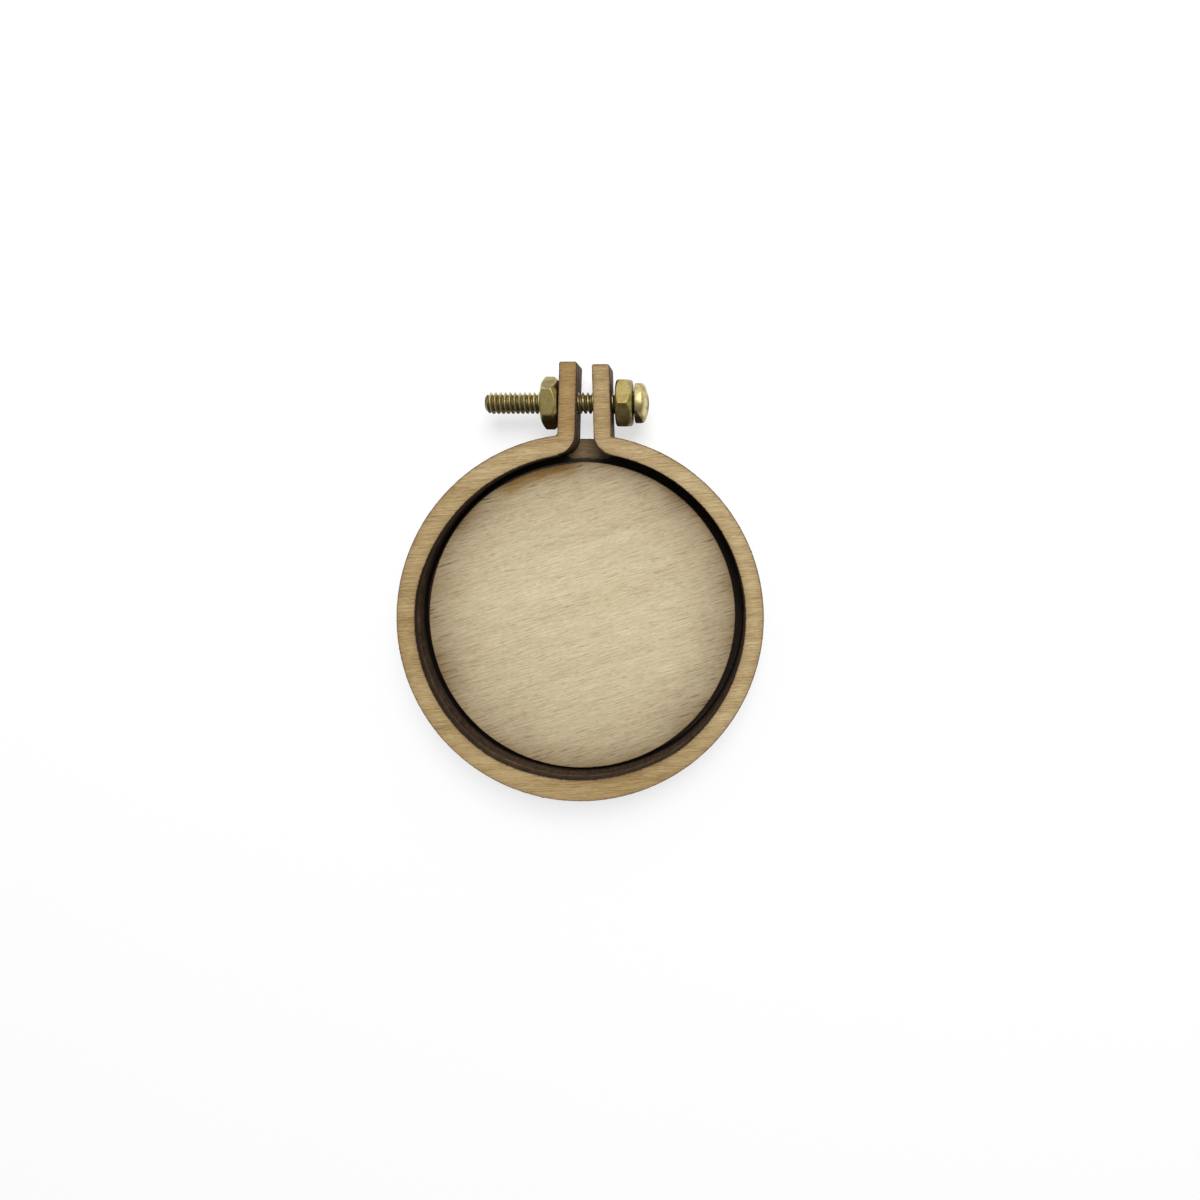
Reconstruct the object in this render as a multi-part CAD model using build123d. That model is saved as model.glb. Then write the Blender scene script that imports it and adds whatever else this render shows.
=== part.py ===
from build123d import *
import math
import os

# Mini embroidery hoop of laser-cut plywood, clamped by a brass screw. Millimetres, degrees.
# The origin is the centre of the back plate's rear face. +Z is the front, which shows the
# embroidery, +Y points to the lugs at the split, and +X runs to the head of the screw.

# Centre disc, which the cloth is stretched over
disc_diameter = 40.0
disc_thickness = 3.0

# Split hoop around the disc
cloth_gap = 1.12
band_width = 2.38
hoop_thickness = 5.0

# Plate behind both, a little smaller than the hoop so that it never stands proud
plate_thickness = 2.0
plate_inset = 0.3

# Edges of the plywood, just broken with fine paper
edge_break = 0.08

# Lugs either side of the split, of which the left one is a little longer
lug_width = 2.28
lug_length = 8.93
left_lug_extra = 0.33
lug_lean = 1.5
lug_tip_radius = 0.25
lug_foot_radius = 0.4
split_at_foot = 2.36
split_offset = 0.52
split_mouth_radius = 2.4

# Screw: how far its axis lies below the right lug's tip, its thread and its slotted head
screw_to_tip = 4.73
screw_length = 19.5
thread_major = 2.82
thread_root = 2.1
thread_pitch = 0.635
tip_chamfer = 0.45
head_diameter = 5.28
head_height = 1.8
head_side = 1.15
head_corner_radius = 0.7
head_edge_radius = 0.15
slot_width = 0.8
slot_depth = 0.85
lug_hole_clearance = 0.18

# Thread form: flats at crest and root as shares of the pitch
crest_share = 0.125
root_share = 0.25
flank_steps = 8

# Nuts, which are alike, and how far each is turned about the screw
nut_across_flats = 6.05
nut_thickness = 2.2
nut_bore_clearance = 0.1
nut_countersink = 0.3
nut_face_share = 0.93
nut_chamfer_angle = 30.0
clamp_nut_angle = 3.5
lock_nut_angle = 35.8

# Play along the screw
nut_to_lug = 0.06
lug_to_lock_nut = 0.45
lock_nut_to_head = 0.27

# Every cut runs this far past the surface that it opens
overrun = 1.0

# Sizes that follow
disc_radius = disc_diameter / 2
hoop_inner_radius = disc_radius + cloth_gap
hoop_outer_radius = hoop_inner_radius + band_width
plate_radius = hoop_outer_radius - plate_inset
hoop_rear = plate_thickness
lug_tips = {-1: hoop_outer_radius + lug_length + left_lug_extra, 1: hoop_outer_radius + lug_length}
screw_y = lug_tips[1] - screw_to_tip
screw_z = hoop_rear + hoop_thickness / 2
lug_hole_radius = (thread_major + lug_hole_clearance) / 2
nut_corner_radius = nut_across_flats / 2 / math.cos(math.radians(30))
lean_slope = math.tan(math.radians(lug_lean))
lug_span = lug_width / math.cos(math.radians(lug_lean))


def lug_inner_side(side, y):
    """Where a lug's inner face stands at the height y. The side is -1 at left and 1 at right."""
    return split_offset + side * (split_at_foot / 2 - (y - hoop_outer_radius) * lean_slope)


# The lugs lean in, so their outer sides stand furthest out where the rims of the nuts are lowest
nut_foot = screw_y - nut_corner_radius
clamp_nut_right = lug_inner_side(-1, nut_foot) - lug_span - nut_to_lug
lock_nut_left = lug_inner_side(1, nut_foot) + lug_span + lug_to_lock_nut
under_head = lock_nut_left + nut_thickness + lock_nut_to_head
screw_tip = under_head - screw_length


def station(x):
    """A place on the screw's axis at x, where local X is +Y and local Z runs to the head."""
    return Plane(origin=(x, screw_y, screw_z), x_dir=(0, 1, 0), z_dir=(1, 0, 0)).location


def turned(outline):
    """A solid turned about the local Z axis from an outline in local X and Z."""
    return revolve(Plane.XZ * make_face(outline), Axis.Z)


def plywood_disc(radius, thickness, rear):
    """A flat round of plywood with its edges just broken."""
    disc = Pos(0, 0, rear) * Cylinder(radius, thickness, align=(Align.CENTER, Align.CENTER, Align.MIN))
    return fillet(disc.edges().filter_by(GeomType.CIRCLE), edge_break)


def make_back_plate():
    return plywood_disc(plate_radius, plate_thickness, 0)


def make_centre_disc():
    return plywood_disc(disc_radius, disc_thickness, plate_thickness)


def make_lug(side):
    """A leaning lug with its foot inside the band and the corners of its tip rounded."""
    foot = hoop_outer_radius - band_width / 2
    tip = lug_tips[side]
    inner_foot = lug_inner_side(side, foot)
    inner_tip = lug_inner_side(side, tip)
    outline = Polyline(
        (inner_foot, foot),
        (inner_tip, tip),
        (inner_tip + side * lug_span, tip),
        (inner_foot + side * lug_span, foot),
        close=True,
    )
    lug = Pos(0, 0, hoop_rear) * extrude(make_face(outline), hoop_thickness)
    return fillet(lug.edges().filter_by(Axis.Z).group_by(Axis.Y)[-1], lug_tip_radius)


def make_split():
    """The cut that the inner faces of the lugs carry on through the band."""
    low = hoop_inner_radius - overrun
    high = max(lug_tips.values()) + overrun
    corners = [(-1, low), (-1, high), (1, high), (1, low)]
    outline = Polyline([(lug_inner_side(side, y), y) for side, y in corners], close=True)
    cut_depth = hoop_thickness + 2 * overrun
    return Pos(0, 0, hoop_rear - overrun) * extrude(make_face(outline), cut_depth)


def upright_corners(hoop, radius):
    """The two upright edges beside the split that stand at a radius from the hoop's middle."""
    lugs_reach = max(abs(lug_inner_side(side, hoop_outer_radius)) for side in (-1, 1)) + lug_span
    corners = []
    for edge in hoop.edges().filter_by(Axis.Z):
        place = edge.center()
        on_ring = abs(math.hypot(place.X, place.Y) - radius) < edge_break
        if on_ring and place.Y > 0 and abs(place.X) < lugs_reach + edge_break:
            corners.append(edge)
    return corners


def make_outer_hoop():
    """The split ring with its lugs, drilled through both for the screw."""
    blank = Circle(hoop_outer_radius) - Circle(hoop_inner_radius)
    hoop = Pos(0, 0, hoop_rear) * extrude(blank, hoop_thickness)
    hoop = hoop + make_lug(-1) + make_lug(1) - make_split()
    hoop = fillet(upright_corners(hoop, hoop_outer_radius), lug_foot_radius)
    hoop = fillet(upright_corners(hoop, hoop_inner_radius), split_mouth_radius)
    faces = hoop.faces().sort_by(Axis.Z)
    hoop = fillet(faces[0].edges() + faces[-1].edges(), edge_break)
    reach = 2 * (lug_span + split_at_foot)
    hole = station(split_offset) * Cylinder(lug_hole_radius, reach)
    return hoop - hole


def around(radius, turn):
    """A point at a radius, a number of turns round the axis."""
    return (radius * math.cos(turn * math.tau), radius * math.sin(turn * math.tau))


def flank(start_radius, end_radius, start_turn, end_turn):
    """One flank of the thread in cross section, where the radius changes evenly with the turn."""
    points = []
    for step in range(flank_steps + 1):
        share = step / flank_steps
        radius = start_radius + (end_radius - start_radius) * share
        points.append(around(radius, start_turn + (end_turn - start_turn) * share))
    return Spline(points)


def thread_section():
    """A right-hand thread as it looks cut square to its axis: one crest and one root."""
    crest = thread_major / 2
    root = thread_root / 2
    root_start = (1 + crest_share - root_share) / 2
    root_end = root_start + root_share
    outline = ThreePointArc(around(crest, 0), around(crest, crest_share / 2), around(crest, crest_share))
    outline += flank(crest, root, crest_share, root_start)
    root_middle = (root_start + root_end) / 2
    outline += ThreePointArc(around(root, root_start), around(root, root_middle), around(root, root_end))
    outline += flank(root, crest, root_end, 1)
    return make_face(outline)


def threaded_rod(length):
    """The thread's section, twisted one turn for each pitch as it runs along local Z."""
    turns = length / thread_pitch
    return Solid.extrude_linear_with_rotation(thread_section().face(), (0, 0, 0), (0, 0, length), 360 * turns)


def make_head():
    """The pan head, seated on local zero: a shallow dome with rounded corners, and a slot."""
    radius = head_diameter / 2
    dome_height = head_height - head_side
    dome_radius = (radius**2 + dome_height**2) / (2 * dome_height)
    dome_middle = (radius / 2, head_height - dome_radius + math.sqrt(dome_radius**2 - (radius / 2) ** 2))
    outline = Polyline((0, head_height), (0, 0), (radius, 0), (radius, head_side))
    outline += ThreePointArc((radius, head_side), dome_middle, (0, head_height))
    head = turned(outline)
    for ring, rounding in ((-1, head_corner_radius), (0, head_edge_radius)):
        rings = head.edges().filter_by(lambda edge: edge.is_closed).sort_by(Axis.Z)
        head = fillet(rings[ring], rounding)
    slot_length = head_diameter + 2 * overrun
    slot = Box(slot_length, slot_width, slot_depth + overrun, align=(Align.CENTER, Align.CENTER, Align.MIN))
    return head - Pos(0, 0, head_height - slot_depth) * slot


def make_clamp_screw():
    """The machine screw, threaded up to its head, with a chamfered tip."""
    crest = thread_major / 2
    rod_length = screw_length + head_side
    pointed = Polyline(
        (0, 0),
        (crest - tip_chamfer, 0),
        (crest + overrun, tip_chamfer + overrun),
        (crest + overrun, rod_length + overrun),
        (0, rod_length + overrun),
        close=True,
    )
    rod = threaded_rod(rod_length) & turned(pointed)
    return station(screw_tip) * (rod + Pos(0, 0, screw_length) * make_head())


def make_nut(left, angle):
    """A hexagon nut with its left face at a station, chamfered outside and at its bore."""
    hexagon = RegularPolygon(nut_corner_radius, 6, rotation=angle)
    nut = extrude(hexagon, nut_thickness)
    face_radius = nut_across_flats / 2 * nut_face_share
    drop = (nut_corner_radius - face_radius) * math.tan(math.radians(nut_chamfer_angle))
    rim = Polyline(
        (0, 0),
        (face_radius, 0),
        (nut_corner_radius, drop),
        (nut_corner_radius, nut_thickness - drop),
        (face_radius, nut_thickness),
        (0, nut_thickness),
        close=True,
    )
    nut = nut & turned(rim)
    bore = (thread_major + nut_bore_clearance) / 2
    mouth = bore + nut_countersink
    bored = Polyline(
        (0, 0),
        (mouth, 0),
        (bore, nut_countersink),
        (bore, nut_thickness - nut_countersink),
        (mouth, nut_thickness),
        (0, nut_thickness),
        close=True,
    )
    return station(left) * (nut - turned(bored))


def make_clamp_nut():
    return make_nut(clamp_nut_right - nut_thickness, clamp_nut_angle)


def make_lock_nut():
    return make_nut(lock_nut_left, lock_nut_angle)


parts = {
    "back_plate": make_back_plate,
    "centre_disc": make_centre_disc,
    "outer_hoop": make_outer_hoop,
    "clamp_screw": make_clamp_screw,
    "clamp_nut": make_clamp_nut,
    "lock_nut": make_lock_nut,
}

os.makedirs("parts", exist_ok=True)
for name, make in parts.items():
    part = make()
    part.label = name
    export_step(part, f"parts/{name}.step")
    box = part.bounding_box()
    print(name, len(part.solids()), round(part.volume, 2), box.min, box.max)
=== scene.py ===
import math

import bmesh
import bpy
from mathutils import Matrix, Vector, noise


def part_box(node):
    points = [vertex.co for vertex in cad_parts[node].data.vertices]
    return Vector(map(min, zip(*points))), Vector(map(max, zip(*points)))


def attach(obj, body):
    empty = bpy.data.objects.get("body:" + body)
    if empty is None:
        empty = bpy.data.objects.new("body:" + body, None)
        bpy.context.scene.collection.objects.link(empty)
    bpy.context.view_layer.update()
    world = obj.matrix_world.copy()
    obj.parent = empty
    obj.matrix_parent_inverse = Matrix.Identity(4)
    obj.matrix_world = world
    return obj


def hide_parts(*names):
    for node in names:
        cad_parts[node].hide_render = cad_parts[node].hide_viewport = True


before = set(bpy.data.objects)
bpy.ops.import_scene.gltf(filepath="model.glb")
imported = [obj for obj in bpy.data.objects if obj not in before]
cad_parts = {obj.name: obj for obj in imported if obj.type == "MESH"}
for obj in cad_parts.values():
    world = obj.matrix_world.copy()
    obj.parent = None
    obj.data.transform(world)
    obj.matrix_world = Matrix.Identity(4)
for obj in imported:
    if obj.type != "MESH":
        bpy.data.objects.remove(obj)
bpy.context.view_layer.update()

# The look of a mini embroidery hoop: three plywood pieces cut by laser, whose walls and rims are
# charred, and a dull brass screw with two nuts. Metres throughout.
MM = 0.001

# Where the plywood pieces and the screw stand in the frame
hoop_low, hoop_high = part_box("outer_hoop")
disc_low, disc_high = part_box("centre_disc")
plate_low, plate_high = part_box("back_plate")
screw_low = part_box("clamp_screw")[0]
clamp_nut_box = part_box("clamp_nut")
lock_nut_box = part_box("lock_nut")

# Plies in each board
disc_plies = 3
plate_plies = 3
hoop_plies = 5

# The ring's band, lugs and split, and the screw's place and hole
ring_radius = hoop_high.x
band_width = 2.38 * MM
ring_bore = ring_radius - band_width
left_lug_extra = 0.33 * MM
lug_tips = {-1: hoop_high.y, 1: hoop_high.y - left_lug_extra}
lug_width = 2.28 * MM
lug_lean = math.tan(math.radians(1.5))
lug_tip_radius = 0.25 * MM
lug_foot_radius = 0.4 * MM
split_half = 1.18 * MM
split_offset = 0.52 * MM
split_mouth_radius = 2.4 * MM
screw_y = 27.7 * MM
screw_place = Vector((0, screw_y, (hoop_low.z + hoop_high.z) / 2))
lug_hole_radius = 1.5 * MM

# Where the bore is a little tight: an angle round the ring, how far either way that reaches, and
# by how much the wood stands in
tight_places = (
    (math.radians(128), math.cos(math.radians(45)), 0.36 * MM),
    (math.radians(272), math.cos(math.radians(37)), 0.36 * MM),
)

# How finely the laser's path is followed, the depth of the marks that it leaves on the walls, and
# how many of them there are in a millimetre along the cut and up it
cut_step = 0.16 * MM
kerf_depth = 0.03 * MM
kerf_marks = (3.6, 0.35)
glue_line_depth = 0.02 * MM
glue_line_height = 0.07 * MM
edge_break = 0.07 * MM

# Thread, head and nuts
screw_length = 19.5 * MM
thread_pitch = 0.635 * MM
thread_crest = 1.41 * MM
thread_root = 1.05 * MM
crest_share = 0.125
root_share = 0.25
tip_chamfer = 0.45 * MM
head_radius = 2.64 * MM
head_height = 1.8 * MM
head_side = 1.15 * MM
head_corner_radius = 0.7 * MM
head_edge_radius = 0.15 * MM
slot_width = 0.8 * MM
slot_depth = 0.85 * MM
nut_apothem = 3.025 * MM
nut_face_share = 0.93
nut_face_radius = nut_face_share * nut_apothem
nut_corner_radius = nut_apothem / math.cos(math.pi / 6)
nut_bore = 1.46 * MM
nut_countersink = 0.3 * MM
nut_chamfers = (math.tan(math.radians(30)), math.tan(math.radians(47)))
nut_edge_radius = 0.09 * MM
clamp_nut_angle = math.radians(3.5)
lock_nut_angle = math.radians(35.8)

# How finely the metal is turned, in steps round it, and in rows along one turn of the thread
thread_steps = 40
thread_rows = 20
head_steps = 72
nut_steps = 96
hole_steps = 64

# Edges sharper than this stay sharp on the metal, and on the nuts they are rounded
screw_sharp_angle = math.radians(40)
nut_sharp_angle = math.radians(25)

# The birch's grain: how often each pattern varies in a millimetre along it, across it and up
growth_scale = (0.045, 0.5, 0.3)
fibre_scale = (0.3, 6.5, 1.0)
fine_scale = (1.5, 14.0, 1.0)
pore_scale = (0.5, 7.2, 1.0)
crack_scale = (0.3, 4.4, 1.0)

# The patterns on the walls, in the same way but along X, Y and Z
streak_scale = (6.0, 6.0, 0.3)
cloud_scale = (0.3, 0.3, 0.5)
fleck_scale = (1.1, 1.1, 1.6)

# Burns, soot and painted shade, in millimetres. A pair runs from where there is none to where
# it is full.
scorch_middle = -5.8
scorch_sides = (6.4, 3.2)
scorch_depth = (2.8, 0.3)
split_shade_and_soot_sides = (3.4, 1.9)
split_shade_and_soot_depth = 0.62
gap_shade_outside = (0.45, -0.1)
gap_shade_inside = (-2.2, -0.2)
plate_front = (0.4, 1.4)
towards_lugs = (0, 10)
brown_lugs = (20.5, 25.0)
brown_left = (-8.0, -23.0)
brown_foot = (-9.0, -23.0)
bore_wall = (0.9, 0.4)
low_wall_shade = (-0.1, -1.9)
rim_soot_height = (-1.7, -0.7)

# Painted shade on the screw, in millimetres in the same way
thread_side = (0.3, 0)
near_side = (0.1, 1.3)
head_shade_edge = (0, 0.15)
head_shade_side = (0.8, 1.4)

# Painted shade on the nuts' lower, near side: how far below the axis it begins, in millimetres,
# and how black it is
clamp_nut_shade = (1.4, 0.6)
lock_nut_shade = (0.2, 0.4)

# The lamp, which hangs beyond the lugs, and its power in watts
lamp_place = (90 * MM, 300 * MM, 500 * MM)
lamp_size = 320 * MM
lamp_power = 3.18

# The floor's half width, and how much of its white is seen whatever falls on it, which softens
# its shadows
floor_reach = 1000 * MM
floor_glow = 0.62

# From where to where the white wall round the room fades out, as the height of a direction
wall_fade = (0.18, 0.46)

# The photograph's width, the point straight below its camera, the hoop's centre and the ring's
# radius, in pixels, and the height of the camera over the ring and the width of its sensor
picture_width = 1200
camera_foot = (681, 483)
hoop_centre = (580.1, 617.7)
ring_pixels = 183.9
camera_height = 90 * MM
sensor_width = 36


def srgb(red, green, blue):
    """A colour given as it looks, from 0 to 255, as the linear values that a shader takes."""
    linear = []
    for value in (red, green, blue):
        value /= 255
        linear.append(value / 12.92 if value <= 0.04045 else ((value + 0.055) / 1.055) ** 2.4)
    return (*linear, 1.0)


# The wood where it is bare: dark, middle and light, and its pores
disc_tones = (srgb(170, 153, 119), srgb(197, 181, 147), srgb(215, 201, 169))
plate_tones = (srgb(122, 99, 66), srgb(148, 122, 84), srgb(170, 144, 103))
hoop_tones = (srgb(150, 126, 83), srgb(180, 157, 114), srgb(203, 183, 141))
pore_brown = srgb(112, 84, 50)

# The wood where the laser burnt it, with the soot and painted shade of the gaps round the disc
smoke_and_shade_brown = srgb(127, 99, 42)
crack_brown = srgb(84, 58, 34)
scorch_brown = srgb(108, 78, 46)
scorch_gold = srgb(204, 174, 96)
ring_brown = srgb(218, 202, 172)
char_black = srgb(48, 35, 25)
plate_shade_and_soot = srgb(44, 34, 24)
wall_soot_and_shade = srgb(16, 12, 9)
wall_tones = (
    (0.28, srgb(28, 20, 14)),
    (0.42, srgb(66, 49, 35)),
    (0.55, srgb(102, 78, 55)),
    (0.72, srgb(140, 112, 80)),
)

# The metal where it is bright and where it is tarnished, its specks, and the black of its painted
# shade
screw_bright = srgb(214, 198, 142)
screw_tarnish = srgb(150, 132, 84)
nut_bright = srgb(170, 154, 99)
nut_tarnish = srgb(122, 106, 59)
speck_brown = srgb(104, 86, 48)
painted_shade_black = srgb(44, 34, 21)

# The floor, the white wall round the room, and the room above that wall, beyond the lugs and on
# the near side
floor_white = srgb(248, 248, 248)
glow_white = srgb(255, 255, 255)
wall_white = srgb(250, 250, 250)
far_room = srgb(210, 213, 218)
near_room = srgb(72, 69, 66)


class Value:
    """A socket of a shader's nodes. An expression on values adds its Math nodes."""

    def __init__(self, nodes, socket):
        self.nodes = nodes
        self.socket = socket

    def math(self, operation, *others):
        inputs = dict(enumerate((self, *others)))
        return self.nodes.node("Math", {"operation": operation}, inputs)

    def turned_round(self, operation, other):
        return self.nodes.node("Math", {"operation": operation}, {0: other, 1: self})

    def __add__(self, other):
        return self.math("ADD", other)

    def __sub__(self, other):
        return self.math("SUBTRACT", other)

    def __mul__(self, other):
        return self.math("MULTIPLY", other)

    def __truediv__(self, other):
        return self.math("DIVIDE", other)

    def __rsub__(self, other):
        return self.turned_round("SUBTRACT", other)

    __radd__ = __add__
    __rmul__ = __mul__

    def least(self, other):
        return self.math("MINIMUM", other)

    def most(self, other):
        return self.math("MAXIMUM", other)

    def absolute(self):
        return self.math("ABSOLUTE")

    def fraction(self):
        return self.math("FRACT")

    def length_with(self, other):
        """The length of the flat vector whose two sides are this value and the other."""
        return (self * self + other * other).math("SQRT")


class Nodes:
    """A tree of shader nodes under construction."""

    def __init__(self, tree):
        self.tree = tree
        self.tree.nodes.clear()

    def node(self, kind, settings=None, inputs=None, output=0):
        """Adds a node: its settings first, then the values or links of its sockets."""
        node = self.tree.nodes.new("ShaderNode" + kind)
        for name, value in (settings or {}).items():
            if name == "stops":
                self.set_stops(node.color_ramp, value)
            else:
                setattr(node, name, value)
        for key, value in (inputs or {}).items():
            if isinstance(value, Value):
                self.tree.links.new(value.socket, node.inputs[key])
            else:
                node.inputs[key].default_value = value
        return Value(self, node.outputs[output]) if node.outputs else None

    def set_stops(self, ramp, stops):
        """Sets a colour ramp's stops, given as (position, colour) in rising order."""
        while len(ramp.elements) < len(stops):
            ramp.elements.new(1.0)
        for element, (position, colour) in zip(ramp.elements, stops):
            element.position = position
            element.color = colour

    def smooth(self, value, low, high):
        """0 below low and 1 above high, or the other way round, with a smooth step between."""
        inputs = {"Value": value, "From Min": low, "From Max": high}
        return self.node("MapRange", {"interpolation_type": "SMOOTHSTEP"}, inputs)

    def fade(self, value, start, reach):
        """Smooth from 0 to 1 between a reach's two distances past a start, which is in metres."""
        return self.smooth(value, start / MM + reach[0], start / MM + reach[1])

    def mix(self, factor, first, second, blend="MIX"):
        settings = {"data_type": "RGBA", "blend_type": blend}
        return self.node("Mix", settings, {0: factor, 6: first, 7: second}, output=2)


class Paint(Nodes):
    """A material under construction, in millimetres of the object's own coordinates."""

    def __init__(self, name):
        self.material = bpy.data.materials.new(name)
        self.material.use_nodes = True
        super().__init__(self.material.node_tree)
        place = self.node("TexCoord", output="Object")
        self.place = self.node("VectorMath", {"operation": "SCALE"}, {"Vector": place, "Scale": 1 / MM})
        split = self.node("SeparateXYZ", {}, {"Vector": self.place})
        outputs = split.socket.node.outputs
        self.x, self.y, self.z = (Value(self, outputs[axis]) for axis in "XYZ")

    def stretched(self, scale, angle=0.0, shift=(0, 0, 0)):
        """The place turned about Z, then scaled along each axis, for a pattern that has a grain."""
        settings = {"vector_type": "POINT"}
        turned = self.node("Mapping", settings, {"Vector": self.place, "Rotation": (0, 0, -angle)})
        return self.node("Mapping", settings, {"Vector": turned, "Scale": scale, "Location": shift})

    def noise(self, vector, detail=2.0, roughness=0.5, distortion=0.0):
        inputs = {"Vector": vector, "Scale": 1.0, "Detail": detail, "Roughness": roughness}
        inputs["Distortion"] = distortion
        return self.node("TexNoise", {}, inputs)

    def grain(self, scale, angle, shift, *character):
        """Noise that is drawn out along a grain. Scale is how often it varies in a millimetre."""
        return self.noise(self.stretched(scale, angle, shift), *character)

    def clouds(self, scale, *character, shift=(0, 0, 0)):
        """Noise that is alike in all directions."""
        return self.noise(self.stretched((scale, scale, scale), 0, shift), *character)

    def ramp(self, value, stops):
        return self.node("ValToRGB", {"stops": stops}, {0: value})

    def bump(self, height, depth, strength=1.0):
        """A normal from a height of 0 to 1 that stands for this depth in metres."""
        return self.node("Bump", {}, {"Height": height, "Distance": depth, "Strength": strength})

    def finish(self, settings, **links):
        """Joins the principled shader to the output and returns the material."""
        inputs = {**settings, **links}
        shader = self.node("BsdfPrincipled", {}, inputs)
        self.node("OutputMaterial", {}, {"Surface": shader})
        return self.material


def hoop_edge(paint):
    """How far a place on the hoop's face lies inside the laser's cut, in millimetres."""
    radius = paint.x.length_with(paint.y)
    height = paint.y - ring_radius / MM
    from_bore = radius - ring_bore / MM
    for angle, limit, tight in tight_places:
        nearness = (paint.x * math.cos(angle) + paint.y * math.sin(angle)) / radius.most(1.0)
        from_bore = from_bore + paint.smooth(nearness, limit, 1.0) * (tight / MM)
    from_split = (paint.x - split_offset / MM).absolute() - split_half / MM + height * lug_lean
    away = (0 - paint.y).most(0) * band_width / MM
    nearest = from_bore.least(from_split + away)
    mouth = split_mouth_radius / MM
    corner = (mouth - from_bore).most(0).length_with((mouth - from_split - away).most(0))
    rounded = mouth - corner + (nearest - mouth).most(0)
    tip = lug_tips[1] / MM + paint.smooth(paint.x, 1.0, 0.0) * ((lug_tips[-1] - lug_tips[1]) / MM)
    lug = (lug_width / MM - from_split).least(tip - paint.y).least(paint.y)
    return nearest.least(rounded).least(lug.most(ring_radius / MM - radius))


def round_edge(radius):
    """The same measure for a round piece: a function of the material that it is used in."""
    return lambda paint: radius / MM - paint.x.length_with(paint.y)


def moved(shift, step):
    """A pattern's shift moved on a step, so that it doesn't follow another pattern."""
    return tuple(part + step for part in shift)


def bare_birch(paint, tones, grain_angle, shift, figure):
    """Sanded birch with short pores along the grain. Gives its colour, its fibres and its height."""
    dark, middle, light = tones
    growth_share, fibre_share = figure
    fine_share = 0.34
    growth = paint.grain(growth_scale, grain_angle, shift, 3, 0.5, 0.2)
    fibre = paint.grain(fibre_scale, grain_angle, shift, 3, 0.6)
    fine = paint.grain(fine_scale, grain_angle, shift, 2, 0.5)
    figured = (growth - 0.5) * growth_share + (fibre - 0.5) * fibre_share
    tone = figured + (fine - 0.5) * fine_share + 0.5
    colour = paint.ramp(tone, [(0.38, dark), (0.5, middle), (0.62, light)])
    pores = paint.grain(pore_scale, grain_angle, moved(shift, 31.0), 1, 0.4, 0.15)
    pore = paint.smooth(pores, 0.62, 0.72)
    colour = paint.mix(pore * 0.3, colour, pore_brown)
    return colour, fibre, fibre * 0.6 + fine * 0.3 - pore * 0.8


def wood_face(name, tones, grain_angle, shift, edge, figure, burn, stain_and_shade):
    """The face of a birch board, charred where the laser cut it.

    The tones are the dark, middle and light of the wood. Figure is how strongly the growth rings
    and the fibres show. Burn gives the width of the black line along the cut in millimetres, how
    strongly the wood beside it is browned, which on the disc is partly painted shade of the ring's
    wall, how far that takes to fade, and how ragged the line is. Stain and shade is a function of
    the material. It gives the share of the face that is stained, and on the back plate darkened by
    painted shade, its colour, and how much wider the black line is from place to place.
    """
    char, smoke_and_shade, reach, raggedness = burn
    paint = Paint(name)
    colour, fibre, height = bare_birch(paint, tones, grain_angle, shift, figure)
    share, stain_and_shade_colour, wider = stain_and_shade(paint)
    colour = paint.mix(share, colour, stain_and_shade_colour, "MULTIPLY")

    ragged = paint.clouds(3.2, 4, 0.7, shift=shift) - 0.5
    drift = paint.clouds(0.12, 2, shift=shift) - 0.5
    depth = edge(paint) + ragged * (wider + raggedness)
    # The browning beside the cut, which on the disc is partly painted shade of the ring's wall
    browned = (depth.most(0) / -reach).math("EXPONENT") * smoke_and_shade * (1 + drift * 1.2)
    cracks = paint.grain(crack_scale, grain_angle, moved(shift, 57.0), 2, 0.5)
    crack = paint.smooth(cracks, 0.56, 0.72) * browned
    colour = paint.mix(browned, colour, smoke_and_shade_brown, "MULTIPLY")
    colour = paint.mix(crack * 1.3, colour, crack_brown)

    outward = depth - wider
    scorched = paint.smooth(outward, char * 2.4, char * 0.7) * 0.62
    colour = paint.mix(scorched, colour, scorch_brown)
    charred = paint.smooth(outward, char, char * 0.4)
    colour = paint.mix(charred, colour, char_black)
    height = height - charred * 0.5 - crack * 0.8
    roughness = 0.6 + fibre * 0.18 + charred * 0.15
    normal = paint.bump(height, 0.025 * MM, 0.7)
    links = {"Base Color": colour, "Roughness": roughness, "Normal": normal}
    return paint.finish({"Specular IOR Level": 0.35}, **links)


def disc_burn(paint):
    """The golden scorch that the laser left on the disc's rim below the left lug."""
    ragged = paint.grain((0.4, 2.2, 1.0), math.radians(17), (0, 0, 0), 4, 0.65) - 0.5
    depth = disc_high.x / MM - paint.x.length_with(paint.y) + ragged * 2.4
    across = (paint.x - scorch_middle).absolute() + ragged * 2.0
    behind = paint.fade(paint.y, 0, towards_lugs)
    share = paint.fade(depth, 0, scorch_depth) * paint.fade(across, 0, scorch_sides) * behind
    return share, scorch_gold, share * 0.22


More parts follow.
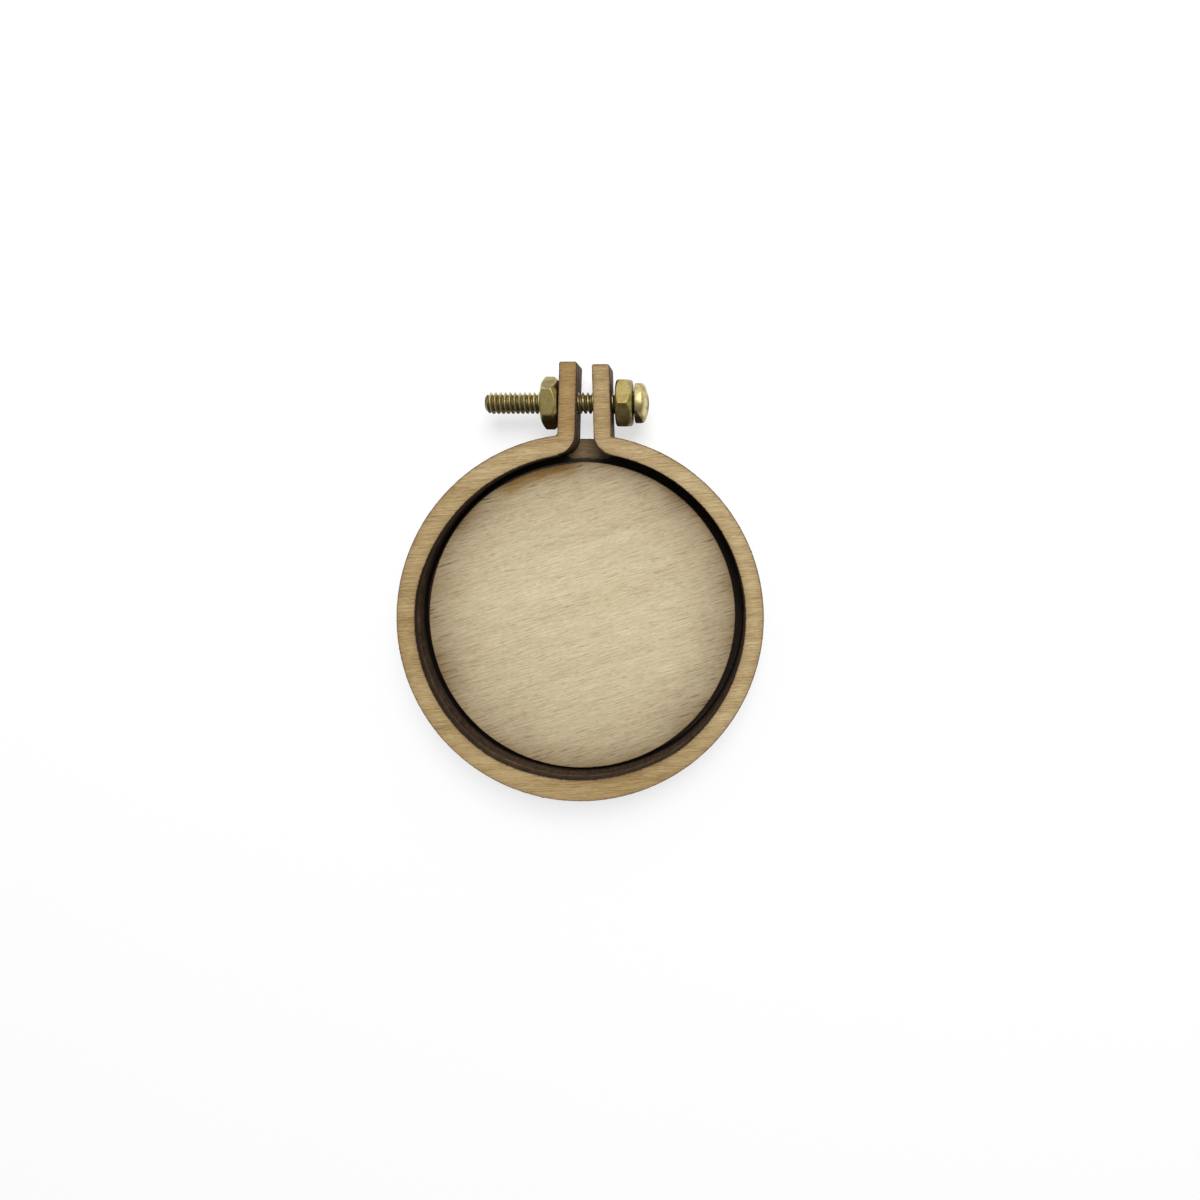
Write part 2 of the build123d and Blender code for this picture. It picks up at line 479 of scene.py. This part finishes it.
def gap_shade_and_soot(paint):
    """Painted shade on the front of the back plate, in the narrow gap round the disc and in the split
    between the lugs, where the plate is also sooted.
    """
    radius = paint.x.length_with(paint.y)
    across = (paint.x - split_offset / MM).absolute()
    # In the split the plate is partly sooted and partly in painted shade of the lugs
    in_split = paint.fade(across, 0, split_shade_and_soot_sides) * paint.fade(paint.y, 0, towards_lugs)
    ragged = paint.clouds(0.8, 3, 0.6) - 0.5
    outward = radius + ragged * 0.4 + in_split * split_shade_and_soot_depth
    # Painted shade in the narrow gap between the ring's bore and the disc
    outside = paint.fade(outward, ring_bore, gap_shade_outside)
    inside = paint.fade(radius + ragged * 0.8, disc_high.x, gap_shade_inside)
    front = paint.fade(paint.z, 0, plate_front)
    share = (outside * inside * 0.97).most(in_split * 0.42) * front
    return share, plate_shade_and_soot, 0.0


def ring_tint(paint):
    """The lugs, the left and the foot of the ring are browner."""
    left_lug = paint.smooth(paint.x, 1.0, -1.0) * 0.55
    lugs = paint.fade(paint.y, 0, brown_lugs) * (left_lug + 0.5)
    left = paint.fade(paint.x, 0, brown_left) * 0.42
    foot = paint.fade(paint.y, 0, brown_foot) * 0.5
    cloud = paint.clouds(0.11, 2) * 0.5
    share = lugs.most(left).most(foot) + cloud * 0.5
    return share, ring_brown, 0.0


def wood_wall(name, low, high, plies, shift, soot_and_shade):
    """The laser's cut through the plies: burnt brown, streaked from face to face, with glue lines.

    Soot and shade is a function of the material that gives how black the wall is. On the hoop's
    bore it is partly painted shade.
    """
    paint = Paint(name)
    streaks = paint.grain(streak_scale, 0, shift, 4, 0.65)
    clouds = paint.grain(cloud_scale, 0, shift, 3, 0.6)
    flecks = paint.grain(fleck_scale, 0, shift, 4, 0.7)
    ply_height = (high - low) / MM / plies
    ply = (paint.z - low / MM) / ply_height
    crosswise = paint.smooth(((ply * 0.5).fraction() - 0.5).absolute(), 0.22, 0.28)
    glue = paint.smooth((ply.fraction() - 0.5).absolute(), 0.44, 0.49)
    tone = streaks * 0.34 + clouds * 0.3 + flecks * 0.36 - 0.06 + crosswise * 0.14 - glue * 0.2
    # The wall is blackened by soot, and in the hoop's bore also by painted shade
    colour = paint.mix(soot_and_shade(paint), paint.ramp(tone, wall_tones), wall_soot_and_shade)
    height = streaks * 0.8 + flecks * 0.5 - glue * 0.5
    roughness = 0.55 + streaks * 0.4
    links = {"Base Color": colour, "Roughness": roughness, "Normal": paint.bump(height, 0.03 * MM)}
    return paint.finish({"Specular IOR Level": 0.3}, **links)


def bore_soot_and_shade(paint):
    """Soot on the wall of the hoop's bore, black under its front rim, and painted shade, blacker still,
    far down in the gap beside the disc.
    """
    low_shade_share = 0.62
    rim_share = 0.4
    even_share = 0.32
    inside = paint.fade(paint.x.length_with(paint.y), ring_bore, bore_wall)
    # Painted shade far down the wall, in the narrow gap beside the disc
    low = paint.fade(paint.z, disc_high.z, low_wall_shade)
    rim = paint.fade(paint.z, hoop_high.z, rim_soot_height)
    return ((low * low_shade_share).most(rim * rim_share) + even_share) * inside


def rim_soot(paint):
    """Soot in patches over a round piece's wall."""
    return paint.clouds(0.3, 2) * 0.4


def brass(name, marks, colour, tarnish, roughness, painted_shade):
    """Dull brass. Marks is the scale of its fine tool marks along each axis.

    Painted shade is a function of the material that gives where the metal is darkened by it.
    """
    paint = Paint(name)
    fine = paint.grain(marks, 0, (0, 0, 0), 3, 0.6)
    patches = paint.clouds(0.75, 4, 0.6, 0.4)
    specks = paint.smooth(paint.clouds(3.0, 3, 0.7), 0.56, 0.7)
    dulled = paint.smooth(patches, 0.4, 0.62)
    # Painted shade: the metal made darker where shade falls on it
    black = painted_shade(paint)
    tint = paint.mix(dulled * 0.7, colour, tarnish)
    tint = paint.mix(specks * 0.45, tint, speck_brown)
    tint = paint.mix(black, tint, painted_shade_black)
    rough = roughness + dulled * 0.12 + specks * 0.12 + (fine - 0.5) * 0.12 + black * 0.2
    height = fine * 0.5 + patches * 1.2 - specks * 0.2
    links = {"Base Color": tint, "Roughness": rough, "Normal": paint.bump(height, 0.03 * MM, 0.5)}
    return paint.finish({"Metallic": 1.0}, **links)


def screw_painted_shade(paint):
    """Painted shade in the roots of the thread, along its lower, near side, and on the head's lower
    part by its underside.
    """
    below = screw_place.y / MM - paint.y
    across = below.length_with(paint.z - screw_place.z / MM)
    flank_middle = (thread_root + thread_crest) / 2
    roots = paint.smooth(across, flank_middle / MM, thread_root / MM) * 0.78
    on_thread = paint.fade(across, thread_crest, thread_side)
    near = paint.fade(below, 0, near_side) * on_thread * 0.5
    past_head_shade = (below - 0.6) * 0.6 - (paint.x - (screw_low.x + screw_length) / MM)
    head_shade = paint.fade(past_head_shade, 0, head_shade_edge) * paint.fade(below, 0, head_shade_side) * 0.85
    return roots.most(near).most(head_shade)


def nut_painted_shade(start, share):
    """Painted shade on the lower, near side of a nut, as a function of its material."""
    return lambda paint: paint.smooth(screw_place.y / MM - paint.y, start, start + 0.6) * share


def add_piece(name, mesh, materials, body, node):
    """Makes an object of a finished bmesh, which rides on a body in place of a CAD node."""
    data = bpy.data.meshes.new(name)
    mesh.to_mesh(data)
    mesh.free()
    for material in materials:
        data.materials.append(material)
    piece = bpy.data.objects.new(name, data)
    bpy.context.scene.collection.objects.link(piece)
    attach(piece, body)
    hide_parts(node)
    return piece


def cut_away(piece, cutter):
    """Takes the cutter's shape out of a bmesh piece by an exact boolean, and drops the cutter."""
    objects = []
    for mesh, name in ((piece, "blank"), (cutter, "cutter")):
        data = bpy.data.meshes.new(name)
        mesh.to_mesh(data)
        mesh.free()
        holder = bpy.data.objects.new(name, data)
        bpy.context.scene.collection.objects.link(holder)
        objects.append(holder)
    blank, tool = objects
    cut = blank.modifiers.new("cut", "BOOLEAN")
    cut.operation = "DIFFERENCE"
    cut.solver = "EXACT"
    cut.object = tool
    graph = bpy.context.evaluated_depsgraph_get()
    result = bmesh.new()
    result.from_mesh(blank.evaluated_get(graph).to_mesh())
    for holder in objects:
        bpy.data.objects.remove(holder)
    return result


def line_points(start, end):
    """Points a cut step apart along a line, without its end."""
    steps = max(1, math.ceil((end - start).length / cut_step))
    return [start.lerp(end, step / steps) for step in range(steps)]


def arc_points(centre, start, end, sweep=None):
    """The same along an arc: the shorter way round, or through a signed sweep."""
    arm = start - centre
    first = math.atan2(arm.y, arm.x)
    if sweep is None:
        last = math.atan2(end.y - centre.y, end.x - centre.x)
        sweep = (last - first + math.pi) % math.tau - math.pi
    steps = max(2, math.ceil(abs(sweep) * arm.length / cut_step))
    angles = [first + sweep * step / steps for step in range(steps)]
    return [centre + arm.length * Vector((math.cos(angle), math.sin(angle))) for angle in angles]


def lug_outline(side):
    """One lug's outline, from the outside of the ring up over its tip and down to the ring's bore.

    The side is -1 at left and 1 at right. Distances are measured along the lug's outward normal.
    """
    along = Vector((-side * lug_lean, 1)).normalized()
    out = Vector((side, lug_lean)).normalized()
    up = Vector((0, 1))
    inner = out.dot(Vector((split_offset + side * split_half, ring_radius)))
    outer = inner + lug_width

    def at_height(distance, height):
        return out * distance + along * ((height - out.y * distance) / along.y)

    def at_radius(distance, radius):
        return out * distance + along * math.sqrt(radius**2 - distance**2)

    foot = at_radius(outer + lug_foot_radius, ring_radius + lug_foot_radius)
    tip = lug_tips[side] - lug_tip_radius
    outer_corner = at_height(outer - lug_tip_radius, tip)
    inner_corner = at_height(inner + lug_tip_radius, tip)
    mouth = at_radius(inner + split_mouth_radius, ring_bore + split_mouth_radius)
    stops = [
        foot * (ring_radius / (ring_radius + lug_foot_radius)),
        foot - out * lug_foot_radius,
        outer_corner + out * lug_tip_radius,
        outer_corner + up * lug_tip_radius,
        inner_corner + up * lug_tip_radius,
        inner_corner - out * lug_tip_radius,
        mouth - out * split_mouth_radius,
        mouth * (ring_bore / (ring_bore + split_mouth_radius)),
    ]
    centres = (foot, None, outer_corner, None, inner_corner, None, mouth)
    points = []
    for centre, start, end in zip(centres, stops, stops[1:]):
        points += arc_points(centre, start, end) if centre else line_points(start, end)
    return points + [stops[-1]]


def tight_bore(point):
    """A point of the round bore, moved in where the bore is tight."""
    reach = ring_bore
    for angle, limit, tight in tight_places:
        nearness = (point.x * math.cos(angle) + point.y * math.sin(angle)) / ring_bore
        share = min(max((nearness - limit) / (1 - limit), 0), 1)
        reach -= tight * share * share * (3 - 2 * share)
    return point * (reach / ring_bore)


def hoop_outline():
    """The laser's path round the split ring, with the wood at its left."""
    middle = Vector((0, 0))
    right = lug_outline(1)
    left = lug_outline(-1)[::-1]
    inside = math.atan2(left[0].y, left[0].x) - math.atan2(right[-1].y, right[-1].x) - math.tau
    outside = math.atan2(right[0].y, right[0].x) - math.atan2(left[-1].y, left[-1].x) + math.tau
    bore = [tight_bore(point) for point in arc_points(middle, right[-1], left[0], inside)[1:]]
    rim = arc_points(middle, left[-1], right[0], outside)[1:]
    return right + bore + left + rim


def round_outline(radius):
    start = Vector((radius, 0))
    return arc_points(Vector((0, 0)), start, start, math.tau)


def wall_heights(low, high, plies):
    """Heights for rows of points up a wall, with three close ones at each glue line."""
    heights = [low]
    for ply in range(1, plies):
        line = low + (high - low) * ply / plies
        heights += [line - glue_line_height, line, line + glue_line_height]
    middles = [(first + second) / 2 for first, second in zip(heights, heights[1:] + [high])]
    return sorted(heights + [high] + middles)


def raise_walls(mesh, outline, heights):
    """Draws an outline up through rows at these heights, with a flat face at either end."""
    corners = [mesh.verts.new((*point, heights[0])) for point in outline]
    first_row = [mesh.edges.new(pair) for pair in zip(corners, corners[1:] + corners[:1])]
    row = first_row
    for height in heights[1:]:
        grown = bmesh.ops.extrude_edge_only(mesh, edges=row)["geom"]
        row = [part for part in grown if isinstance(part, bmesh.types.BMEdge)]
        for corner in {end for edge in row for end in edge.verts}:
            corner.co.z = height
    for rim in (first_row, row):
        bmesh.ops.edgeloop_fill(mesh, edges=rim)
    bmesh.ops.recalc_face_normals(mesh, faces=mesh.faces)
    mesh.normal_update()


def mark_walls(mesh, glue_lines, shift):
    """Moves the walls in by the laser's marks, and by a little more at the glue lines."""
    along, up = kerf_marks
    for corner in mesh.verts:
        out = Vector((corner.normal.x, corner.normal.y, 0)).normalized()
        x, y, z = corner.co
        place = Vector((x / MM * along, y / MM * along, z / MM * up))
        mark = 0.5 + 0.5 * noise.fractal(place + Vector(shift), 1.0, 2.0, 3)
        depth = kerf_depth * min(max(mark, 0), 1)
        if any(abs(z - line) < glue_line_height / 2 for line in glue_lines):
            depth += glue_line_depth
        corner.co -= out * depth


def edges_at(mesh, height, near):
    """The edges of a mesh whose ends both lie at a height."""
    return [edge for edge in mesh.edges if all(abs(end.co.z - height) < near for end in edge.verts)]


def plywood_cut(outline, low, high, plies, shift):
    """Plywood with this outline, whose walls carry the laser's marks and whose rims are broken."""
    mesh = bmesh.new()
    raise_walls(mesh, outline, wall_heights(low, high, plies))
    mark_walls(mesh, [low + (high - low) * ply / plies for ply in range(1, plies)], shift)
    rims = edges_at(mesh, low, edge_break / 10) + edges_at(mesh, high, edge_break / 10)
    bmesh.ops.bevel(
        mesh, geom=rims, offset=edge_break, segments=2, profile=0.5, affect="EDGES", material=-1
    )
    mesh.normal_update()
    return mesh


def finish_plywood(mesh):
    """Gives the flat faces the first material and the walls the second, which are shaded smooth."""
    mesh.normal_update()
    for face in mesh.faces:
        levelness = abs(face.normal.z)
        face.material_index = 0 if levelness > 0.75 else 1
        face.smooth = levelness < 0.99


def make_disc():
    low, high = disc_low.z, disc_high.z
    shift = (3.0, 7.0, 1.0)
    mesh = plywood_cut(round_outline(disc_high.x), low, high, disc_plies, shift)
    finish_plywood(mesh)
    edge = round_edge(disc_high.x)
    grain_angle = math.radians(17)
    figure = (0.14, 0.44)
    # The disc's wide browned rim is partly the laser's burn and partly painted shade of the ring's wall
    burn = (0.08, 0.72, 3.4, 0.2)
    face = wood_face("disc_face", disc_tones, grain_angle, shift, edge, figure, burn, disc_burn)
    wall = wood_wall("disc_wall", low, high, disc_plies, shift, rim_soot)
    add_piece("disc_board", mesh, [face, wall], "disc", "centre_disc")


def make_plate():
    low, high = plate_low.z, plate_high.z
    shift = (41.0, 13.0, 5.0)
    mesh = plywood_cut(round_outline(plate_high.x), low, high, plate_plies, shift)
    finish_plywood(mesh)
    edge = round_edge(plate_high.x)
    grain_angle = math.radians(-4)
    figure = (0.34, 0.6)
    burn = (0.2, 0.4, 0.8, 0.2)
    # The plate's face carries painted shade in the gaps round the disc and between the lugs
    face = wood_face("plate_face", plate_tones, grain_angle, shift, edge, figure, burn, gap_shade_and_soot)
    wall = wood_wall("plate_wall", low, high, plate_plies, shift, rim_soot)
    add_piece("plate_board", mesh, [face, wall], "plate", "back_plate")


def lug_drill():
    """A round bar along the screw's axis, as wide as the hole and longer than both lugs."""
    drill = bmesh.new()
    bmesh.ops.create_cone(
        drill,
        cap_ends=True,
        segments=hole_steps,
        radius1=lug_hole_radius,
        radius2=lug_hole_radius,
        depth=4 * (split_half + lug_width),
        matrix=Matrix.Translation(screw_place) @ Matrix.Rotation(math.pi / 2, 4, "Y"),
    )
    return drill


def make_hoop():
    low, high = hoop_low.z, hoop_high.z
    shift = (17.0, 29.0, 11.0)
    mesh = cut_away(plywood_cut(hoop_outline(), low, high, hoop_plies, shift), lug_drill())
    finish_plywood(mesh)
    grain_angle = math.radians(4)
    figure = (0.34, 0.52)
    burn = (0.1, 0.36, 0.5, 0.3)
    face = wood_face("hoop_face", hoop_tones, grain_angle, shift, hoop_edge, figure, burn, ring_tint)
    wall = wood_wall("hoop_wall", low, high, hoop_plies, shift, bore_soot_and_shade)
    add_piece("hoop_board", mesh, [face, wall], "hoop", "outer_hoop")


def thread_radius(turn):
    """The thread's radius a number of turns past the start of its crest, with its corners eased."""
    turn %= 1
    flank = (1 - crest_share - root_share) / 2
    from_crest = abs((turn - crest_share / 2 + 0.5) % 1 - 0.5) - crest_share / 2
    share = min(max(from_crest / flank, 0), 1)
    eased = share * share * (3 - 2 * share)
    eased_share = 0.55
    drop = share + (eased - share) * eased_share
    return thread_crest + (thread_root - thread_crest) * drop


def turned_to_screw(mesh, x):
    """Lays a mesh made along local Z on the screw's axis, with local zero at the station x."""
    axes = Matrix(((0, 0, 1), (1, 0, 0), (0, 1, 0))).to_4x4()
    place = Matrix.Translation(screw_place + Vector((x, 0, 0)))
    bmesh.ops.transform(mesh, matrix=place @ axes, verts=mesh.verts)


def spun(mesh, outline, steps):
    """Turns an outline of (radius, height) points a full turn about local Z."""
    points = [mesh.verts.new((radius, 0, height)) for radius, height in outline]
    edges = [mesh.edges.new(pair) for pair in zip(points, points[1:])]
    bmesh.ops.spin(
        mesh,
        geom=points + edges,
        cent=(0, 0, 0),
        axis=(0, 0, 1),
        angle=math.tau,
        steps=steps,
        use_merge=True,
    )


def make_thread_turn(rod):
    """Adds one turn of the thread along local Z, which ends at local zero, and returns its parts."""
    heights = [thread_pitch * (row / thread_rows - 1) for row in range(thread_rows + 1)]
    points = [rod.verts.new((thread_radius(-height / thread_pitch), 0, height)) for height in heights]
    edges = [rod.edges.new(pair) for pair in zip(points, points[1:])]
    bmesh.ops.spin(
        rod,
        geom=points + edges,
        cent=(0, 0, 0),
        axis=(0, 0, 1),
        dvec=(0, 0, thread_pitch / thread_steps),
        angle=math.tau,
        steps=thread_steps,
    )
    return rod.verts[:] + rod.edges[:] + rod.faces[:]


def trim_rod(rod, length):
    """Cuts a rod square at both ends and chamfers the first."""
    for height, normal in ((0, -1), (length, 1)):
        geometry = rod.verts[:] + rod.edges[:] + rod.faces[:]
        plane = {"plane_co": (0, 0, height), "plane_no": (0, 0, normal)}
        bmesh.ops.bisect_plane(rod, geom=geometry, clear_outer=True, **plane)
    for corner in rod.verts:
        radius = math.hypot(corner.co.x, corner.co.y)
        limit = thread_crest - tip_chamfer + corner.co.z
        if radius > limit:
            corner.co.xy = corner.co.xy * (limit / radius)


def make_rod(length):
    """The threaded rod from local zero along local Z, open at both ends."""
    rod = bmesh.new()
    first_turn = make_thread_turn(rod)
    for turn in range(1, math.ceil(length / thread_pitch) + 2):
        copied = bmesh.ops.duplicate(rod, geom=first_turn)["geom"]
        copied_corners = [part for part in copied if isinstance(part, bmesh.types.BMVert)]
        bmesh.ops.translate(rod, vec=(0, 0, thread_pitch * turn), verts=copied_corners)
    bmesh.ops.remove_doubles(rod, verts=rod.verts, dist=thread_pitch / thread_rows / 20)
    trim_rod(rod, length)
    return rod


def open_edges(mesh, height):
    """The open edges of a mesh at a height."""
    return [edge for edge in edges_at(mesh, height, thread_pitch / 100) if edge.is_boundary]


def head_outline():
    """The pan head's outline from its underside rim over the dome to the middle, above local zero."""
    rise = head_height - head_side
    dome_radius = (head_radius**2 + rise**2) / (2 * rise)
    dome_centre = head_height - dome_radius
    corner_reach = head_radius - head_corner_radius
    corner_centre = dome_centre + math.sqrt((dome_radius - head_corner_radius) ** 2 - corner_reach**2)
    dome_angle = math.atan2(corner_reach, corner_centre - dome_centre)
    # Each arc's centre across and up, its radius, its first and last angle, and its steps
    arcs = (
        (head_radius - head_edge_radius, head_edge_radius, head_edge_radius, -math.pi / 2, 0, 6),
        (corner_reach, corner_centre, head_corner_radius, 0, math.pi / 2 - dome_angle, 12),
        (0, dome_centre, dome_radius, math.pi / 2 - dome_angle, math.pi / 2, 20),
    )
    points = []
    for across, height, radius, start, end, steps in arcs:
        for step in range(steps):
            angle = start + (end - start) * step / steps
            points.append((across + radius * math.cos(angle), height + radius * math.sin(angle)))
    return points + [(0, head_height)]


def add_head(screw):
    """Closes the rod's tip, turns the head at its other end, and joins the two."""
    bmesh.ops.edgeloop_fill(screw, edges=open_edges(screw, 0))
    shank_loop = open_edges(screw, screw_length)
    spun(screw, [(radius, screw_length + height) for radius, height in head_outline()], head_steps)
    bmesh.ops.remove_doubles(screw, verts=screw.verts, dist=thread_pitch / 1000)
    rim_loop = [edge for edge in open_edges(screw, screw_length) if edge not in shank_loop]
    bmesh.ops.bridge_loops(screw, edges=shank_loop + rim_loop)
    bmesh.ops.recalc_face_normals(screw, faces=screw.faces)


def head_slot():
    """A bar across the top of the head, as wide as its slot."""
    slot = bmesh.new()
    bmesh.ops.create_cube(slot, size=1)
    bmesh.ops.scale(slot, vec=(4 * head_radius, slot_width, 2 * slot_depth), verts=slot.verts)
    bmesh.ops.translate(slot, vec=(0, 0, screw_length + head_height), verts=slot.verts)
    return slot


def smooth_metal(piece, sharp_angle):
    """Shades a piece smooth, except over edges sharper than this angle."""
    piece.data.shade_smooth()
    piece.data.set_sharp_from_angle(angle=sharp_angle)


def make_screw():
    """The machine screw in one closed mesh: thread, head and slot."""
    screw = make_rod(screw_length)
    add_head(screw)
    screw = cut_away(screw, head_slot())
    turned_to_screw(screw, screw_low.x)
    marks = (9, 1.6, 1.6)
    # The screw's brass carries painted shade in its thread and on its lower side
    material = brass("screw_finish", marks, screw_bright, screw_tarnish, 0.36, screw_painted_shade)
    piece = add_piece("screw_metal", screw, [material], "screw", "clamp_screw")
    smooth_metal(piece, screw_sharp_angle)


def draw_hexagon(nut, thickness):
    """Draws the rim of a turned blank out to flats and corners, lower where it is further out."""
    for corner in nut.verts:
        radius = math.hypot(corner.co.x, corner.co.y)
        if radius > (nut_face_radius + nut_corner_radius) / 2:
            turn = math.atan2(corner.co.y, corner.co.x)
            from_flat = (turn % (math.pi / 3)) - math.pi / 6
            reach = nut_apothem / math.cos(from_flat)
            cut = reach - nut_face_radius
            corner.co.xy = corner.co.xy * (reach / radius)
            if corner.co.z < thickness / 2:
                corner.co.z = cut * nut_chamfers[0]
            else:
                corner.co.z = thickness - cut * nut_chamfers[1]


def hexagon_nut(thickness):
    """A hexagon nut along local Z, with its bore and the countersinks at either end."""
    nut = bmesh.new()
    mouth = nut_bore + nut_countersink
    outline = [
        (nut_bore, nut_countersink),
        (mouth, 0),
        (nut_face_radius, 0),
        (nut_corner_radius, 0),
        (nut_corner_radius, thickness),
        (nut_face_radius, thickness),
        (mouth, thickness),
        (nut_bore, thickness - nut_countersink),
        (nut_bore, nut_countersink),
    ]
    spun(nut, outline, nut_steps)
    bmesh.ops.remove_doubles(nut, verts=nut.verts, dist=thread_pitch / 1000)
    draw_hexagon(nut, thickness)
    bmesh.ops.recalc_face_normals(nut, faces=nut.faces)
    return nut


def make_nut(name, box, angle, painted_shade, node):
    """A nut at its place in the frame, turned by an angle about the screw, with its edges rounded."""
    low, high = box
    nut = hexagon_nut(high.x - low.x)
    bmesh.ops.rotate(nut, cent=(0, 0, 0), matrix=Matrix.Rotation(angle, 3, "Z"), verts=nut.verts)
    turned_to_screw(nut, low.x)
    marks = (5, 2.2, 2.2)
    # The nut's brass carries painted shade on its lower, near side
    material = brass(name + "_finish", marks, nut_bright, nut_tarnish, 0.28, nut_painted_shade(*painted_shade))
    piece = add_piece(name, nut, [material], node, node)
    smooth_metal(piece, nut_sharp_angle)
    bevel = piece.modifiers.new("edges", "BEVEL")
    bevel.width = nut_edge_radius
    bevel.segments = 3
    bevel.limit_method = "ANGLE"
    bevel.angle_limit = nut_sharp_angle
    bevel.harden_normals = True


def make_floor():
    """A pale floor that the hoop lies on."""
    floor = bmesh.new()
    bmesh.ops.create_grid(floor, x_segments=1, y_segments=1, size=floor_reach)
    data = bpy.data.meshes.new("floor")
    floor.to_mesh(data)
    floor.free()
    paint = Paint("floor_white")
    lit = paint.node("BsdfDiffuse", {}, {"Color": floor_white})
    glow = paint.node("Emission", {}, {"Color": glow_white, "Strength": 1.0})
    seen = 0
    for ray in ("Is Camera Ray", "Is Glossy Ray", "Is Transmission Ray"):
        seen = seen + paint.node("LightPath", output=ray)
    shader = paint.node("MixShader", {}, {0: seen * floor_glow, 1: lit, 2: glow})
    paint.node("OutputMaterial", {}, {"Surface": shader})
    data.materials.append(paint.material)
    piece = bpy.data.objects.new("floor", data)
    bpy.context.scene.collection.objects.link(piece)


def add_lamp(name, place, size, power):
    """A square softbox that faces the middle of the object. The power is in watts."""
    data = bpy.data.lights.new(name, "AREA")
    data.size = size
    data.energy = power
    lamp = bpy.data.objects.new(name, data)
    lamp.location = place
    lamp.rotation_euler = (-Vector(place)).to_track_quat("-Z", "Y").to_euler()
    bpy.context.scene.collection.objects.link(lamp)


def light_studio():
    """One large soft lamp high beyond the lugs, in a room with a white wall round it.

    Above the wall the room is pale beyond the lugs and darker on the near side.
    """
    add_lamp("key", lamp_place, lamp_size, lamp_power)
    world = bpy.data.worlds.new("room")
    world.use_nodes = True
    room = Nodes(world.node_tree)
    direction = room.node("TexCoord", output="Generated")
    north = room.node("SeparateXYZ", {}, {"Vector": direction}, output="Y")
    height = room.node("SeparateXYZ", {}, {"Vector": direction}, output="Z")
    far_share = room.node("MapRange", {}, {"Value": north, "From Min": -0.9, "From Max": 0.9})
    above = room.mix(far_share, near_room, far_room)
    colour = room.mix(room.smooth(height, *wall_fade), wall_white, above)
    shader = room.node("Background", {}, {"Color": colour, "Strength": 1.0})
    room.node("OutputWorld", {}, {"Surface": shader})
    bpy.context.scene.world = world
    bpy.context.scene.view_settings.view_transform = "Standard"


def place_camera():
    """Looks straight down on the hoop, as the photograph does."""
    pixel = ring_radius / ring_pixels
    data = bpy.data.cameras.new("camera")
    data.sensor_width = sensor_width
    data.lens = sensor_width * camera_height / (picture_width * pixel)
    data.shift_x = (picture_width / 2 - camera_foot[0]) / picture_width
    data.shift_y = (camera_foot[1] - picture_width / 2) / picture_width
    data.clip_start = 1 * MM
    camera = bpy.data.objects.new("camera", data)
    x = (camera_foot[0] - hoop_centre[0]) * pixel
    y = (hoop_centre[1] - camera_foot[1]) * pixel
    camera.location = (x, y, hoop_high.z + camera_height)
    bpy.context.scene.collection.objects.link(camera)
    bpy.context.scene.camera = camera


make_plate()
make_disc()
make_hoop()
make_screw()
make_nut("clamp_nut_metal", clamp_nut_box, clamp_nut_angle, clamp_nut_shade, "clamp_nut")
make_nut("lock_nut_metal", lock_nut_box, lock_nut_angle, lock_nut_shade, "lock_nut")
make_floor()
light_studio()
place_camera()
